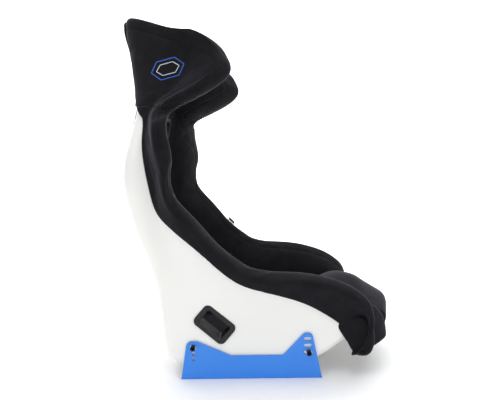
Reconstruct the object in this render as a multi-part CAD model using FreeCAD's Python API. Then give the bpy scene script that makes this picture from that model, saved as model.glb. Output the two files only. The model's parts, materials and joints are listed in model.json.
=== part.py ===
import FreeCAD, Part
import math
import os

# Fixed-back racing seat with head wings, standing on two side-mount brackets.
# Millimetres. X points forward, Y to the seat's left, Z up. The origin lies on the floor,
# midway between the four floor slots of the brackets.

V = FreeCAD.Vector
SIDES = {"left": 1, "right": -1}

# ---- driving dimensions ----------------------------------------------------------------

SHELL_THICK = 4.5       # glass-fibre laminate
GLUE_GAP = 1.0          # left between the laminate and the foam bonded to it
NECK_GAP = 1.5          # more of it where the section turns sharply at the neck
COVER_THICK = 1.6       # fabric with its thin backing
COVER_GAP = 1.0         # between a foam and its cover
OUTER_PAD = 8.0         # rim padding on the outer face
SEAM_GAP = 0.5          # each side of a seam between two pads

BOLT_REAR = (-143.5, 83.0)      # X, Z of the M8 side-mount holes, 290.5 mm apart
BOLT_FRONT = (147.0, 67.0)
BOLTS = (BOLT_REAR, BOLT_FRONT)
HOLE_PITCH_REAR = 15.5          # height steps of the round rear holes
HOLE_PITCH_FRONT = 17.0         # height steps of the front slots
SLOT_FRONT_X = 144.5
SLOT_LONG = 20.0
SLOT_WIDE = 9.0
BRACKET_FACE = 211.0            # |Y| of the plate's inner face
WALL_FACE = 209.3               # |Y| at which a spacer meets the shell
PLATE = 3.0
FLANGE_IN = 170.0               # |Y| of the floor flange's inner edge
FLOOR_SLOT_X = 140.0
FLOOR_SLOT_Y = 190.0
FLOOR_SLOT_LONG = 26.0
FLOOR_SLOT_WIDE = 9.0

SLOT_OPEN = (72.0, 41.0)        # belt opening inside a bezel: long, short
THROAT_WALL = 2.0
FLANGE_SIZE = (98.0, 63.0)
FLANGE_ROUND = 14.0
FLANGE_THICK = 4.0
LAP_SLOT = (-88.0, 140.0)       # X, Z of the lap-belt openings
LAP_TILT = -40.7                # degrees, long axis falling towards the front
SHOULDER_STATION = 13.62
SHOULDER_Y = 96.0
CROTCH_STATION = 5.7
CROTCH_STANDOFF = 5.0           # the flat bezel stands off the curved pan by this much
CUT_DEPTH = 145.0               # how deep the padding is cleared behind a belt slot
CUT_ROOM = 0.5                  # room round a bezel in the padding

CUSHION_END = 7.9               # station where the loose cushion meets the back pad
THIGH_END = 8.0
NECK = 14.0
TOP = 17.0
TOP_PADDING = 18.0
HEAD_BACK = 11.0                # fabric and thin foam on the back of the head part
HEAD_BACK_GAP = 1.6             # between that panel and the shell
CUSHION_LIFT = 4.0              # the cushion's foam lies this far above the shell
STRIP_STATIONS = (6.1, 7.6)     # where the hook-and-loop strips run
TAG_AT = (7.62, 7.90)           # stations of the blank fabric tag
TAG_SIZE = (9.0, 1.4)           # its height over the cover, its thickness

# ---- the seat's cross-sections -----------------------------------------------------------

# A station is a plane through the seat that holds the Y direction. It starts at (x, z) on the
# shell's outer face and leans by "lean" degrees from +X. "wall" is how far the side wall
# reaches along it, negative where the lip folds down. Half widths are at the back of the wall
# and at its rim; "corner" rounds one into the other; "crown" lifts the middle of the panel;
# "seam" is the half width of the middle pad, "pad" its thickness, "roll" the thickness of the
# padding over the rim, "wrap" how far the cover comes back over the outer face.
FIELDS = ("x", "z", "lean", "wall", "half", "rim", "corner", "crown", "seam", "pad", "roll", "wrap")
STATIONS = (
    (332, 68, 15, -50, 163, 198, 30, 34, 130, 26, 10, 30),       # 0 lip, lower edge
    (320, 110, 40, -70, 168, 206, 32, 28, 130, 38, 13, 34),      # 1 lip, fold
    (292, 112, 70, 24, 178, 210, 32, 36, 130, 56, 20, 50),       # 2 lip, top
    (272, 86, 86, 98, 188, 214, 34, 48, 130, 78, 27, 96),        # 3 nose of the thigh wall
    (240, 84, 95, 133, 201, 224, 30, 34, 130, 92, 32, 92),       # 4 thigh
    (150, 38, 93, 203, 209, 234, 20, 30, 130, 94, 36, 50),       # 5 front bolt
    (20, 20, 85, 229, 209, 238, 28, 12, 130, 74, 38, 20),        # 6 middle of the base
    (-110, 16, 72, 270, 209, 240, 34, 4, 130, 48, 38, 17),       # 7 rear of the base
    (-205, 38, 69, 314, 209, 240, 50, 0, 130, 38, 38, 20),       # 8 hip
    (-230, 120, 71, 281, 207, 240, 60, -6, 126, 40, 35, 33),     # 9 kidneys
    (-248, 230, 72, 216, 203, 240, 66, -10, 124, 42, 34, 45),    # 10 waist
    (-290, 345, 58, 174, 204, 248, 70, -12, 122, 36, 34, 62),    # 11 ribs
    (-318, 490, 34, 136, 212, 260, 70, -10, 122, 28, 34, 52),    # 12 shoulder blades
    (-298, 600, 24, 91, 205, 248, 62, -4, 118, 26, 34, 40),      # 13 shoulders
    (-276, 690, -8, 70, 186, 214, 54, -3, 108, 28, 35, 52),      # 14 neck
    (-281, 770, -12, 170, 172, 222, 54, -6, 100, 36, 50, 168),   # 15 foot of the wing
    (-290, 830, -13, 220, 164, 222, 54, -8, 98, 36, 52, 222),    # 16 middle of the wing
    (-300, 889, -18, 230, 158, 214, 52, -6, 96, 30, 44, 206),    # 17 top edge of the shell
    (-294, 917, -18, 212, 158, 212, 52, -6, 96, 30, 44, 200),    # 18 top of the padding
)
T_FLAT, T_CORNER = 0.36, 0.60   # where the flat panel and the corner end, on 0 (middle) to 1 (rim)
WALL_FLAT = 0.36                # share of the wall that stays parallel before it flares
CORNER_SHARE = 0.45             # a corner takes at most this share of a low wall
LOW_WALL = 40.0                 # walls lower than about this open out sideways


def spline(values):
    """Natural cubic spline through values at 0, 1, 2 and so on, as a function."""
    n = len(values)
    bend, slope, rest = [0.0] * n, [0.0] * n, [0.0] * n
    for i in range(1, n - 1):
        pivot = 4.0 - slope[i - 1]
        slope[i] = 1.0 / pivot
        rest[i] = (6.0 * (values[i + 1] - 2 * values[i] + values[i - 1]) - rest[i - 1]) / pivot
    for i in range(n - 2, 0, -1):
        bend[i] = rest[i] - slope[i] * bend[i + 1]

    def at(s):
        i = min(int(s), n - 2)
        f = s - i
        g = 1.0 - f
        line = g * values[i] + f * values[i + 1]
        return line + ((g ** 3 - g) * bend[i] + (f ** 3 - f) * bend[i + 1]) / 6.0
    return at


CURVES = {name: spline([row[i] for row in STATIONS]) for i, name in enumerate(FIELDS)}


class Station:
    """One cross-section plane. Points in it are (u, y): u runs from the panel to the rim."""

    def __init__(self, s):
        self.s = s
        for name, curve in CURVES.items():
            setattr(self, name, curve(s))
        lean = math.radians(self.lean)
        self.along = V(math.cos(lean), 0, math.sin(lean))
        self.start = V(self.x, 0, self.z)
        self.low = math.copysign(min(self.corner, CORNER_SHARE * abs(self.wall)), self.wall)
        self.out = OUTER_PAD
        self.gap = GLUE_GAP + NECK_GAP * math.exp(-((s - NECK - 0.2) / 0.6) ** 2)

    def outer(self, t):
        """(u, y) on the shell's outer face at t, from 0 in the middle to 1 at the rim."""
        flat = self.half - self.corner
        open_up = math.exp(-(self.wall / LOW_WALL) ** 2)
        if t <= T_FLAT:
            share = t / T_FLAT
            return self.crown * math.cos(math.pi / 2 * share) ** 2, flat * share
        if t <= T_CORNER:
            share = (t - T_FLAT) / (T_CORNER - T_FLAT)
            a = math.pi / 2 * share
            sideways = (1 - open_up) * math.sin(a) + open_up * share
            return self.low * (1 - math.cos(a)), flat + self.corner * sideways
        w = (t - T_CORNER) / (1 - T_CORNER)
        flare = max(0.0, (w - WALL_FLAT) / (1 - WALL_FLAT)) ** 2
        flare = (1 - open_up) * flare + open_up * w
        return self.low + (self.wall - self.low) * w, self.half + (self.rim - self.half) * flare

    def frame(self, t):
        """Point, tangent towards the rim and normal towards the occupant, at t."""
        step = 1e-4
        a, b = self.outer(max(0.0, t - step)), self.outer(min(1.0, t + step))
        du, dy = b[0] - a[0], b[1] - a[1]
        size = math.hypot(du, dy)
        return self.outer(t), (du / size, dy / size), (dy / size, -du / size)

    def offset(self, t, inward, onward=0.0):
        """(u, y) at t, moved inward along the normal and onward past the rim."""
        (u, y), (tu, ty), (nu, ny) = self.frame(t)
        return u + nu * inward + tu * onward, y + ny * inward + ty * onward

    def share_at(self, y):
        """The t at which the flat panel reaches y."""
        return T_FLAT * y / (self.half - self.corner)

    def place(self, point, side=1):
        """The 3-D point of a (u, y)."""
        return self.start + self.along * point[0] + V(0, side * point[1], 0)


def steps(a, b, n):
    return [a + (b - a) * i / (n - 1) for i in range(n)]


def smooth(points):
    """A smooth edge led by points, with the same knots for every section of a loft."""
    curve = Part.BSplineCurve()
    curve.buildFromPoles(points, False, 3)
    return curve.toShape()


def section(station, runs, side=1):
    """A closed wire of smooth runs of (u, y), each joined to the next by a straight edge."""
    placed = [[station.place(p, side) for p in run] for run in runs]
    edges = []
    for i, run in enumerate(placed):
        edges.append(smooth(run) if len(run) > 3 else Part.makeLine(run[0], run[-1]))
        following = placed[(i + 1) % len(placed)]
        if run[-1].distanceToPoint(following[0]) > 1e-6:
            edges.append(Part.makeLine(run[-1], following[0]))
    return Part.Wire(edges)


def loft(first, last, runs_at, side=1, per_station=3):
    """A solid through the sections that runs_at gives, at the same stations for every part."""
    margin = 0.3 / per_station
    numbers = range(int(first * per_station), int(last * per_station) + 2)
    inner = [n / per_station for n in numbers if margin < n / per_station - first < last - first - margin]
    wires = []
    for s in [first] + inner + [last]:
        station = Station(s)
        wires.append(section(station, runs_at(station), side))
    return Part.makeLoft(wires, True, False)


def divided(solid, spans=4, strips=3):
    """The same solid with its long curved faces divided into spans along it and strips across."""
    faces = []
    for face in solid.Faces:
        surface = face.Surface
        if not isinstance(surface, Part.BSplineSurface):
            faces.append(face)
            continue
        u_low, u_high, v_low, v_high = surface.bounds()
        us = steps(u_low, u_high, strips + 1 if surface.NbUPoles > 6 else 2)
        vs = steps(v_low, v_high, spans + 1)
        for u_start, u_end in zip(us, us[1:]):
            for v_start, v_end in zip(vs, vs[1:]):
                patch = surface.copy()
                patch.segment(u_start, u_end, v_start, v_end)
                faces.append(patch.toShape())
    skin = Part.makeShell(faces)
    skin.sewShape()
    body = Part.makeSolid(skin)
    return body if body.Volume > 0 else body.reversed()


# ---- shell -------------------------------------------------------------------------------

PANEL_T = [i / 6 * T_FLAT for i in range(6)]
CORNER_T = [T_FLAT + i / 6 * (T_CORNER - T_FLAT) for i in range(6)]
WALL_T = [T_CORNER + i / 8 * (1 - T_CORNER) for i in range(9)]
HALF_T = PANEL_T + CORNER_T + WALL_T


def across(station, inward):
    """The whole profile from the right rim to the left rim, moved inward."""
    half = [station.offset(t, inward) for t in HALF_T]
    return [(u, -y) for u, y in reversed(half[1:])] + half


def shell_runs(station):
    return [across(station, 0.0), list(reversed(across(station, SHELL_THICK)))]


# ---- padding -----------------------------------------------------------------------------

def shifted(points, by):
    """An open run of (u, y) moved to its left side by a distance."""
    moved_points = []
    for i, (u, y) in enumerate(points):
        a, b = points[max(0, i - 1)], points[min(len(points) - 1, i + 1)]
        du, dy = b[0] - a[0], b[1] - a[1]
        size = math.hypot(du, dy)
        moved_points.append((u - dy / size * by, y + du / size * by))
    return moved_points


def hem_t(station):
    """The t on the outer face at which a rim pad's cover ends."""
    reach = station.wrap / max(1.0, abs(station.wall - station.low)) * (1 - T_CORNER)
    return max(1.0 - reach, T_FLAT + 0.06)


def bolster_face(station):
    """The free face of a rim pad, from its seam with the middle pad, over the rim, to the outer hem."""
    base = SHELL_THICK + GLUE_GAP
    seam_u = station.outer(station.share_at(station.seam))[0] + base + station.pad * 0.86
    roll, out = station.roll, station.out
    nose = 0.30 * roll + 8.0
    hem = hem_t(station)
    outside = [hem + (1 - hem) * share for share in (0.85, 0.62, 0.38, 0.16, 0.0)]
    heights = (1.0, 1.0, 0.95, 0.85, 0.60)
    by_seam = (seam_u + 2.0, station.seam + SEAM_GAP + 9.0)
    up_wall = station.offset(0.70, base + roll * 1.02)
    over_fold = station.offset(0.48, base + roll * 1.3)
    hollow = min(1.0, max(0.0, (station.wall + 15) / 75))
    corner = [hollow * (a + b) / 2 + (1 - hollow) * c for a, b, c in zip(by_seam, up_wall, over_fold)]
    return [
        (seam_u, station.seam + SEAM_GAP),
        by_seam,
        tuple(corner),
        up_wall,
        station.offset(0.80, base + roll * 1.04),
        station.offset(0.91, base + roll * 1.02),
        station.offset(1.0, base + roll * 0.96, 0.55 * nose),
        station.offset(1.0, base + roll * 0.62, 1.10 * nose),
        station.offset(1.0, base + roll * 0.12, 1.14 * nose),
        station.offset(1.0, -out * 0.7, 0.95 * nose),
        station.offset(1.0, -out * 1.05, 0.35 * nose),
    ] + [station.offset(t, -out * height) for t, height in zip(outside, heights)]


def bolster_foam_runs(station):
    gap = station.gap
    base = SHELL_THICK + gap
    hem = hem_t(station)
    end = hem + (1 - hem) * 0.40
    face = shifted(bolster_face(station), COVER_THICK + COVER_GAP + gap - GLUE_GAP)[:-2]
    face[0] = (face[0][0], station.seam + SEAM_GAP)
    face[-1] = station.offset(end, -0.5 * station.out)
    inner_end = station.share_at(station.seam + SEAM_GAP)
    outside = [station.offset(t, -gap) for t in steps(end, 1.0, 9)]
    tip = [station.offset(1.0, -gap, gap), station.offset(1.0, base, gap)]
    inner_t = steps(1.0, T_CORNER, 8) + steps(T_CORNER, T_FLAT, 10)[1:] + [inner_end]
    return [face, outside, tip, [station.offset(t, base) for t in inner_t]]


def bolster_cover_runs(station):
    face = bolster_face(station)
    inside = shifted(face, COVER_THICK)
    inside[0] = (inside[0][0], station.seam + SEAM_GAP)
    return [face, list(reversed(inside))]


def pad_face(station):
    """The free face of a middle pad, from its right seam to its left seam."""
    half = station.seam - SEAM_GAP
    rows = []
    for share, height in ((1.0, 0.84), (0.95, 0.90), (0.86, 0.97), (0.60, 1.0), (0.30, 1.0)):
        y = half * share
        u = station.outer(station.share_at(y))[0]
        rows.append((u + SHELL_THICK + station.pad * height, y))
    middle = (station.outer(0.0)[0] + SHELL_THICK + station.pad, 0.0)
    return [(u, -y) for u, y in rows] + [middle] + list(reversed(rows))


def pad_foam_runs(lift):
    """The sections of a middle foam whose underside lies lift above the shell."""
    def runs(station):
        half = station.seam - SEAM_GAP
        face = shifted(pad_face(station), COVER_THICK + COVER_GAP)
        face[0], face[-1] = (face[0][0], -half), (face[-1][0], half)
        ts = steps(station.share_at(half), 0.0, 6)
        bed = [station.offset(t, SHELL_THICK + lift) for t in ts]
        bed[0] = (bed[0][0], half)
        return [face, bed + [(u, -y) for u, y in reversed(bed[:-1])]]
    return runs


def pad_cover_runs(station):
    half = station.seam - SEAM_GAP
    face = pad_face(station)
    inside = shifted(face, COVER_THICK)
    inside[0], inside[-1] = (inside[0][0], -half), (inside[-1][0], half)
    return [face, list(reversed(inside))]


def top_roll_runs(station):
    """The padding over the shell's top edge, all round the head, thinner towards its top."""
    rise = (station.s - TOP) / (TOP_PADDING - TOP)
    full = math.sqrt(1 - (0.93 * rise) ** 2)
    station.roll *= full
    station.pad *= full
    station.out *= full
    station.wall -= 24 * (1 - full)
    front = [p for p in pad_face(station) if p[1] >= 0][:-2] + bolster_face(station)[1:]
    back = [station.offset(t, -HEAD_BACK * full) for t in steps(hem_t(station) - 0.03, 0.0, 5)]
    half = front + back[:-1]
    whole = [(u, -y) for u, y in reversed(half[1:])] + half
    (u, y), middle = back[-2], back[-1]
    return [whole, [(u, y), middle, (u, -y)]]


def head_back_runs(station):
    """The thin padded panel across the back of the head, thinner towards the neck."""
    rise = min(1.0, station.s - NECK)
    thick = HEAD_BACK * (0.55 + 0.45 * rise * rise * (3 - 2 * rise))
    ts = steps(hem_t(station) - 0.02, 0.0, 16)
    outer = [station.offset(t, -thick) for t in ts]
    inner = [station.offset(t, -HEAD_BACK_GAP) for t in ts]
    outer = outer + [(u, -y) for u, y in reversed(outer[:-1])]
    inner = inner + [(u, -y) for u, y in reversed(inner[:-1])]
    return [outer, list(reversed(inner))]


def tag_runs(station):
    """A small folded label that stands up from the tip of a bolster."""
    height, thick = TAG_SIZE
    poles = [V(u, y, 0) for u, y in bolster_face(station)]
    curve = Part.BSplineCurve()
    curve.buildFromPoles(poles, False, 3)
    at = curve.parameter(poles[7])
    root, run = curve.value(at), curve.tangent(at)[0]
    out = V(run.y, -run.x, 0)
    low, high = 0.3, 0.3 + height
    corners = [(low, -thick / 2), (high, -thick / 2), (high, thick / 2), (low, thick / 2)]
    placed = [(root.x + out.x * a + run.x * b, root.y + out.y * a + run.y * b) for a, b in corners]
    return [[placed[0], placed[1]], [placed[2], placed[3]]]


def strip_runs(near, far, low, high):
    """A thin strip on the shell's inner face between two half widths."""
    def runs(station):
        ts = steps(station.share_at(near), station.share_at(far), 4)
        bottom = [station.offset(t, SHELL_THICK + low) for t in ts]
        top = [station.offset(t, SHELL_THICK + high) for t in reversed(ts)]
        return [bottom, top]
    return runs


# ---- belt slots --------------------------------------------------------------------------

def rounded(long, short, radius, low, high):
    """A rounded rectangular prism about Z, its long side along X, from low to high."""
    box = Part.makeBox(long, short, high - low, V(-long / 2, -short / 2, low))
    upright = [e for e in box.Edges if abs(e.tangentAt(e.FirstParameter).z) > 0.9]
    return box.makeFillet(radius, upright)


def slot_place(centre, normal, long_axis):
    """Carries the slot's own frame, with Z along the outward normal, to the seat."""
    short_axis = normal.cross(long_axis)
    return FreeCAD.Placement(centre, FreeCAD.Rotation(long_axis, short_axis, normal, "ZXY"))


def surface_place(s, y, side, long_axis):
    """The frame of a slot on the shell's outer face at station s and half width y."""
    def at(station_s, half):
        station = Station(station_s)
        return station.place(station.outer(station.share_at(half)), side)
    ahead = at(s + 0.02, y).sub(at(s - 0.02, y))
    aside = at(s, y + 1).sub(at(s, y - 1)) if y > 0 else V(0, 1, 0)
    normal = ahead.cross(aside)
    normal.normalize()
    if normal.dot(Station(s).along) > 0:
        normal = normal.negative()
    along_face = long_axis.sub(V(normal).multiply(long_axis.dot(normal)))
    along_face.normalize()
    return slot_place(at(s, y), normal, along_face)


def moved(shape, place):
    shape = shape.copy()
    shape.Placement = place.multiply(shape.Placement)
    return shape


def throat(grow, low, high):
    long, short = SLOT_OPEN
    return rounded(long + 2 * grow, short + 2 * grow, 5.0 + grow, low, high)


def outer_bezel(place, laminate, depth):
    """Flange on the shell's outer face with a throat that runs depth into the seat."""
    flange = rounded(*FLANGE_SIZE, FLANGE_ROUND, -8.0, FLANGE_THICK)
    rim = [e for e in flange.Edges if e.BoundBox.ZMin > FLANGE_THICK - 0.01]
    flange = flange.makeFillet(1.6, rim)
    flange = moved(flange, place).cut(laminate)
    flange = max(flange.Solids, key=lambda solid: place.inverse().multVec(solid.CenterOfMass).z)
    tube = moved(throat(THROAT_WALL, -depth, 0.5), place)
    body = flange.fuse(tube)
    return body.cut(moved(throat(0.0, -depth - 5, FLANGE_THICK + 5), place)).removeSplitter()


def inner_bezel(place, low, high):
    """Flange on the padding's face, low from the outer face, with a throat back to high."""
    flange = rounded(*FLANGE_SIZE, FLANGE_ROUND, -low - FLANGE_THICK, -low)
    rim = [e for e in flange.Edges if e.BoundBox.ZMax < -low - FLANGE_THICK + 0.01]
    flange = flange.makeFillet(1.2, rim)
    body = flange.fuse(throat(THROAT_WALL, -low - 0.5, -high))
    body = body.cut(throat(0.0, -low - 20, -high + 5))
    return moved(body, place).removeSplitter()


# ---- brackets and fasteners --------------------------------------------------------------

def hull_outline(points, radii):
    """A closed wire through points, each corner rounded to its radius (0 keeps it sharp)."""
    edges, ends = [], []
    n = len(points)
    for i, radius in enumerate(radii):
        a, p, b = points[i - 1], points[i], points[(i + 1) % n]
        back, on = a.sub(p), b.sub(p)
        back.normalize()
        on.normalize()
        if radius == 0:
            ends.append((p, None, p))
            continue
        half = back.getAngle(on) / 2
        reach = radius / math.tan(half)
        middle = back.add(on)
        middle.normalize()
        centre = p.add(middle.multiply(radius / math.sin(half)))
        inward = p.sub(centre)
        inward.normalize()
        start, end = p.add(back.multiply(reach)), p.add(on.multiply(reach))
        ends.append((start, centre.add(inward.multiply(radius)), end))
    for i, (start, bulge, end) in enumerate(ends):
        previous_end = ends[i - 1][2]
        if previous_end.distanceToPoint(start) > 1e-6:
            edges.append(Part.makeLine(previous_end, start))
        if bulge is not None:
            edges.append(Part.Arc(start, bulge, end).toShape())
    return Part.Wire(edges)


def slot_prism(length, width, low, high):
    """A round-ended slot about Z, its length along X, from low to high."""
    reach = (length - width) / 2
    bar = Part.makeBox(2 * reach, width, high - low, V(-reach, -width / 2, low))
    for end in (-reach, reach):
        bar = bar.fuse(Part.makeCylinder(width / 2, high - low, V(end, 0, low)))
    return bar.removeSplitter()


def bracket(side):
    """Laser-cut side plate with its floor flange folded under the seat."""
    inner, outer = BRACKET_FACE, BRACKET_FACE + PLATE
    profile = [
        (-176, 0, 0), (-159, 98, 13), (-133, 98, 14), (-48, 60, 8), (82, 60, 8),
        (136, 116, 13), (156, 116, 12), (179, 0, 0),
    ]
    corners = [V(x, inner, z) for x, z, _ in profile]
    plate = Part.Face(hull_outline(corners, [r for _, _, r in profile]))
    plate = plate.extrude(V(0, PLATE, 0))
    flange = Part.makeBox(355, outer - FLANGE_IN, PLATE, V(-176, FLANGE_IN, 0))
    inner_corners = [e for e in flange.Edges
                     if abs(e.BoundBox.YMax - FLANGE_IN) < 0.01 and e.BoundBox.ZLength > 1]
    flange = flange.makeFillet(10.0, inner_corners)
    body = plate.fuse(flange).removeSplitter()
    fold = [e for e in body.Edges if e.BoundBox.XLength > 300 and e.BoundBox.ZMax < 0.01
            and abs(e.BoundBox.YMin - outer) < 0.01]
    body = body.makeFillet(PLATE * 0.95, fold)
    upright = FreeCAD.Placement(V(0, inner - 2, 0), FreeCAD.Rotation(V(1, 0, 0), -90))
    for step in range(3):
        z = BOLT_REAR[1] - step * HOLE_PITCH_REAR
        body = body.cut(Part.makeCylinder(4.5, 10, V(BOLT_REAR[0], inner - 2, z), V(0, 1, 0)))
        z = BOLT_FRONT[1] + step * HOLE_PITCH_FRONT
        cut = moved(slot_prism(SLOT_LONG, SLOT_WIDE, 0, 10), upright)
        cut.translate(V(SLOT_FRONT_X, 0, z))
        body = body.cut(cut)
    for x in (-FLOOR_SLOT_X, FLOOR_SLOT_X):
        cut = slot_prism(FLOOR_SLOT_LONG, FLOOR_SLOT_WIDE, -2, 6)
        cut.translate(V(x, FLOOR_SLOT_Y, 0))
        body = body.cut(cut)
    return body if side > 0 else mirrored(body)


def mirrored(shape):
    return shape.mirror(V(0, 0, 0), V(0, 1, 0))


def ring(x, z, low, high, outer, inner):
    """A washer between two distances from the middle plane, on the left side."""
    body = Part.makeCylinder(outer, high - low, V(x, low, z), V(0, 1, 0))
    return body.cut(Part.makeCylinder(inner, high - low + 2, V(x, low - 1, z), V(0, 1, 0)))


def bolt(x, z):
    """M8 socket-head screw, its head outside, pointing inwards on the left side."""
    seat = BRACKET_FACE + PLATE + 1.6
    head = Part.makeCylinder(6.5, 8.0, V(x, seat, z), V(0, 1, 0))
    head = head.makeFillet(0.8, [e for e in head.Edges if e.BoundBox.YMin > seat + 7.9])
    shank = Part.makeCylinder(4.0, 27.0, V(x, seat - 27.0, z), V(0, 1, 0))
    hexagon = [V(x + 3.46 * math.cos(math.radians(a)), seat + 3.5, z + 3.46 * math.sin(math.radians(a)))
               for a in range(0, 361, 60)]
    socket = Part.Face(Part.makePolygon(hexagon)).extrude(V(0, 6, 0))
    return head.fuse(shank).cut(socket).removeSplitter()


def insert(x, z, wall_out):
    """Flanged M8 threaded insert bonded in the shell wall."""
    inner = wall_out - SHELL_THICK
    barrel = Part.makeCylinder(7.0, 18.0, V(x, inner - 14.0, z), V(0, 1, 0))
    flange = Part.makeCylinder(10.0, 2.0, V(x, inner - 2.6, z), V(0, 1, 0))
    bore = Part.makeCylinder(4.05, 30.0, V(x, inner - 20.0, z), V(0, 1, 0))
    return barrel.fuse(flange).cut(bore).removeSplitter()


# ---- build -------------------------------------------------------------------------------

def group(shapes):
    return Part.makeCompound(shapes)


def slot_frames():
    """Name to placement of the five belt slots."""
    frames = {}
    tilt = math.radians(LAP_TILT)
    for name, side in SIDES.items():
        centre = V(LAP_SLOT[0], side * WALL_FACE, LAP_SLOT[1])
        frames["lap_" + name] = slot_place(centre, V(0, side, 0), V(math.cos(tilt), 0, math.sin(tilt)))
        frames["shoulder_" + name] = surface_place(SHOULDER_STATION, SHOULDER_Y, side, V(0, side, 0))
    crotch = surface_place(CROTCH_STATION, 0, 1, V(0, 1, 0))
    frames["crotch"] = crotch.multiply(FreeCAD.Placement(V(0, 0, CROTCH_STANDOFF), FreeCAD.Rotation()))
    return frames


# For each slot: how deep the outer throat runs, then the inner flange's depth.
SLOT_DEPTHS = {
    "lap": (20.0, 40.0),
    "shoulder": (16.0, 31.0),
    "crotch": (CROTCH_STANDOFF + 3.0, CROTCH_STANDOFF + SHELL_THICK + 0.3),
}


def drilled(body, frames):
    """The laminate with its belt slots and bolt holes."""
    for place in frames.values():
        body = body.cut(moved(throat(THROAT_WALL + 0.4, -16.0, 16.0), place))
    for x, z in BOLTS:
        for side in SIDES.values():
            body = body.cut(Part.makeCylinder(7.1, 40, V(x, side * 190, z), V(0, side, 0)))
    return body


def padding():
    """Every foam and cover, before the belt slots are cleared."""
    parts = {}

    def add(name, first, last, runs, side=1):
        parts[name] = divided(loft(first, last, runs, side))

    rim_pads = {
        "thigh_bolster": (0.0, THIGH_END - 0.004),
        "torso_bolster": (THIGH_END + 0.004, NECK - 0.006),
        "head_wing": (NECK + 0.006, TOP),
    }
    for name, side in SIDES.items():
        for part, (first, last) in rim_pads.items():
            add(f"{part}_foam_{name}", first, last, bolster_foam_runs, side)
            add(f"{part}_cover_{name}", first, last, bolster_cover_runs, side)
    middle_pads = {
        "back_pad": (CUSHION_END + 0.012, NECK - 0.006, GLUE_GAP),
        "head_pad": (NECK + 0.006, TOP, GLUE_GAP),
        "seat_cushion": (0.0, CUSHION_END, CUSHION_LIFT),
    }
    for part, (first, last, lift) in middle_pads.items():
        add(f"{part}_foam", first, last, pad_foam_runs(lift))
        add(f"{part}_cover", first, last, pad_cover_runs)
    parts["head_top_roll"] = loft(TOP + 0.05, TOP_PADDING, top_roll_runs, per_station=8)
    parts["head_back_panel"] = loft(NECK + 0.006, TOP, head_back_runs)
    return parts


def clear_slot(soft, kind, place):
    """Clears the padding behind a belt slot and over its inner flange."""
    inner_depth = SLOT_DEPTHS[kind][1]
    cutter = moved(throat(THROAT_WALL + CUT_ROOM, -CUT_DEPTH, 12.0), place)
    low, high = -CUT_DEPTH, CUT_ROOM - inner_depth
    if kind == "crotch":
        low, high = -inner_depth - FLANGE_THICK - CUT_ROOM, 12.0
    long, short = FLANGE_SIZE
    pocket = rounded(long + 2 * CUT_ROOM, short + 2 * CUT_ROOM, FLANGE_ROUND, low, high)
    pocket = moved(pocket, place)
    for part, shape in soft.items():
        if shape.BoundBox.intersect(cutter.BoundBox):
            soft[part] = shape.cut(cutter).cut(pocket)


def fasteners(side):
    """Bolts, washers, spacers and inserts of one side, each kind as one group."""
    face = BRACKET_FACE + PLATE
    kinds = {
        "mount_bolts": lambda x, z: bolt(x, z),
        "mount_washers": lambda x, z: ring(x, z, face + 0.05, face + 1.55, 8.0, 4.2),
        "mount_spacers": lambda x, z: ring(x, z, WALL_FACE, BRACKET_FACE - 0.05, 12.0, 4.3),
        "threaded_inserts": lambda x, z: insert(x, z, WALL_FACE - 0.3),
    }
    groups = {}
    for kind, make in kinds.items():
        shapes = [make(x, z) for x, z in BOLTS]
        groups[kind] = group(shapes if side > 0 else [mirrored(shape) for shape in shapes])
    return groups


def build():
    frames = slot_frames()
    laminate = loft(0.0, TOP, shell_runs)
    nodes = {"shell": drilled(laminate, frames)}
    soft = padding()
    for label, place in frames.items():
        kind = label.split("_")[0]
        depth, inner_depth = SLOT_DEPTHS[kind]
        suffix = label[len(kind):]
        nodes[f"{kind}_bezel_outer{suffix}"] = outer_bezel(place, laminate, depth)
        nodes[f"{kind}_bezel_inner{suffix}"] = inner_bezel(place, inner_depth, depth + 0.4)
        clear_slot(soft, kind, place)
    for name, side in SIDES.items():
        nodes[f"bracket_{name}"] = bracket(side)
        for kind, shape in fasteners(side).items():
            nodes[f"{kind}_{name}"] = shape
        foam = f"thigh_bolster_foam_{name}"
        for x, z in BOLTS:
            room = Part.makeCylinder(11.0, 30.0, V(x, side * 205.5, z), V(0, -side, 0))
            soft[foam] = soft[foam].cut(room)
    nodes["fabric_tag"] = loft(*TAG_AT, tag_runs)
    strips = {"hook_strips": (0.1, 1.5), "loop_strips": (1.9, 3.4)}
    for name, (low, high) in strips.items():
        runs = strip_runs(46, 92, low, high)
        nodes[name] = group([loft(*STRIP_STATIONS, runs, side) for side in SIDES.values()])
    nodes.update(soft)
    return nodes


def main():
    os.makedirs("parts", exist_ok=True)
    for name, shape in build().items():
        if len(shape.Solids) == 1:
            shape = shape.Solids[0]
        sound = bool(shape.Solids) and all(s.isValid() and s.Volume > 0 for s in shape.Solids)
        volume = shape.Volume / 1000
        print(f"{name:32s} solids {len(shape.Solids)} volume {volume:9.2f} cm3 {'ok' if sound else 'BAD'}")
        shape.exportStep(f"parts/{name}.step")


main()
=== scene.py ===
import json
import math

import bmesh
import bpy
import numpy as np
from mathutils import Matrix, Vector

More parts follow.
